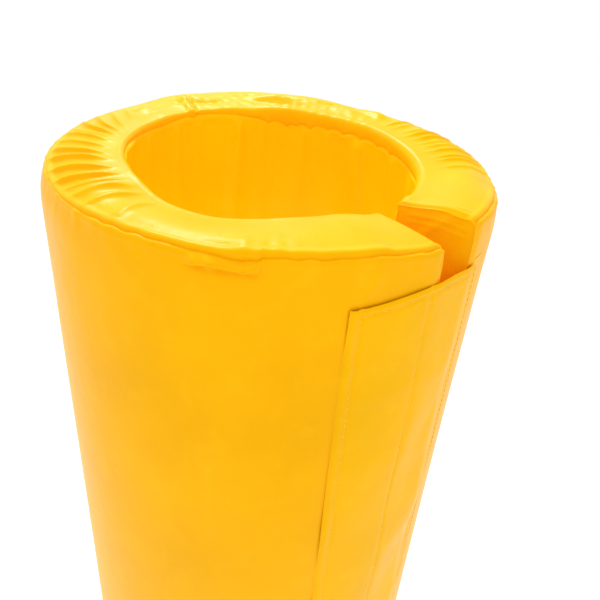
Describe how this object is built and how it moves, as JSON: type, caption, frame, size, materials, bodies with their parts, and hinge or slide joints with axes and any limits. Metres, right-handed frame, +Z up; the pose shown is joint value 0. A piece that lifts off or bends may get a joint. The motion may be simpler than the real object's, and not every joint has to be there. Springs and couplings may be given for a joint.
{
  "type": "padded post protector sleeve",
  "caption": "Wrap-around padded post sleeve: C-shaped foam wall in a glossy coated-fabric cover, closed at its slit by a sewn hook-and-loop flap.",
  "frame": {"origin": "on the bore's axis at the foot of the sleeve, level with what it stands on", "axes": "+Z up along the bore; the slit between the two ends faces -Y, and the back stave +Y"},
  "size_m": [0.2898, 0.2946, 1],
  "materials": {
    "cover": "glossy PVC-coated fabric",
    "flap": "glossy PVC-coated fabric",
    "foam": "open-cell foam",
    "thread": "bonded polyester thread",
    "tape": "woven hook and loop tape"
  },
  "bodies": {
    "back": {"back_foam": "foam", "back_outer_cover": "cover", "back_inner_liner": "cover", "back_top_cap": "cover", "back_bottom_cap": "cover", "back_rim_stitching": "thread"},
    "right_side": {"right_side_foam": "foam", "right_side_outer_cover": "cover", "right_side_inner_liner": "cover", "right_side_top_cap": "cover", "right_side_bottom_cap": "cover", "right_side_rim_stitching": "thread"},
    "right_end": {"right_end_foam": "foam", "right_end_outer_cover": "cover", "right_end_inner_liner": "cover", "right_end_top_cap": "cover", "right_end_bottom_cap": "cover", "right_end_rim_stitching": "thread", "right_end_panel": "cover", "right_edge_stitching": "thread", "flap_root_hem": "flap", "flap_root_stitching": "thread"},
    "left_side": {"left_side_foam": "foam", "left_side_outer_cover": "cover", "left_side_inner_liner": "cover", "left_side_top_cap": "cover", "left_side_bottom_cap": "cover", "left_side_rim_stitching": "thread"},
    "left_end": {"left_end_foam": "foam", "left_end_outer_cover": "cover", "left_end_inner_liner": "cover", "left_end_top_cap": "cover", "left_end_bottom_cap": "cover", "left_end_rim_stitching": "thread", "left_end_panel": "cover", "loop_tape": "tape", "loop_tape_stitching": "thread"},
    "flap_base": {"flap_base_outer_ply": "flap", "flap_base_inner_ply": "flap", "flap_base_stitching": "thread"},
    "flap_tab": {"flap_tab_outer_ply": "flap", "flap_tab_inner_ply": "flap", "flap_tab_stitching": "thread", "hook_tape": "tape", "hook_tape_stitching": "thread"}
  },
  "joints": [
    {"name": "fold_right_back", "type": "hinge", "parent": "back", "child": "right_side", "pos_m": [0.08275, 0.11907, 0.5], "axis": [0, 0, 1], "range_deg": [0, 69.2]},
    {"name": "fold_right_end", "type": "hinge", "parent": "right_side", "child": "right_end", "pos_m": [0.14044, -0.03606, 0.5], "axis": [0, 0, 1], "range_deg": [0, 69.2]},
    {"name": "fold_left_back", "type": "hinge", "parent": "back", "child": "left_side", "pos_m": [-0.08275, 0.11907, 0.5], "axis": [0, 0, -1], "range_deg": [0, 69.2]},
    {"name": "fold_left_end", "type": "hinge", "parent": "left_side", "child": "left_end", "pos_m": [-0.14044, -0.03606, 0.5], "axis": [0, 0, -1], "range_deg": [0, 69.2]},
    {"name": "flap_lift", "type": "hinge", "parent": "right_end", "child": "flap_base", "pos_m": [0.02067, -0.14756, 0.5], "axis": [0, 0, 1], "range_deg": [0, 90]},
    {"name": "flap_peel", "type": "hinge", "parent": "flap_base", "child": "flap_tab", "pos_m": [-0.0208, -0.14835, 0.5], "axis": [0, 0, 1], "range_deg": [0, 140]}
  ],
  "couplings": [
    {"joint": "fold_right_end", "follows": "fold_right_back", "ratio": 1},
    {"joint": "fold_left_back", "follows": "fold_right_back", "ratio": 1},
    {"joint": "fold_left_end", "follows": "fold_right_back", "ratio": 1},
    {"joint": "flap_lift", "follows": "fold_right_back", "ratio": 1.3}
  ]
}
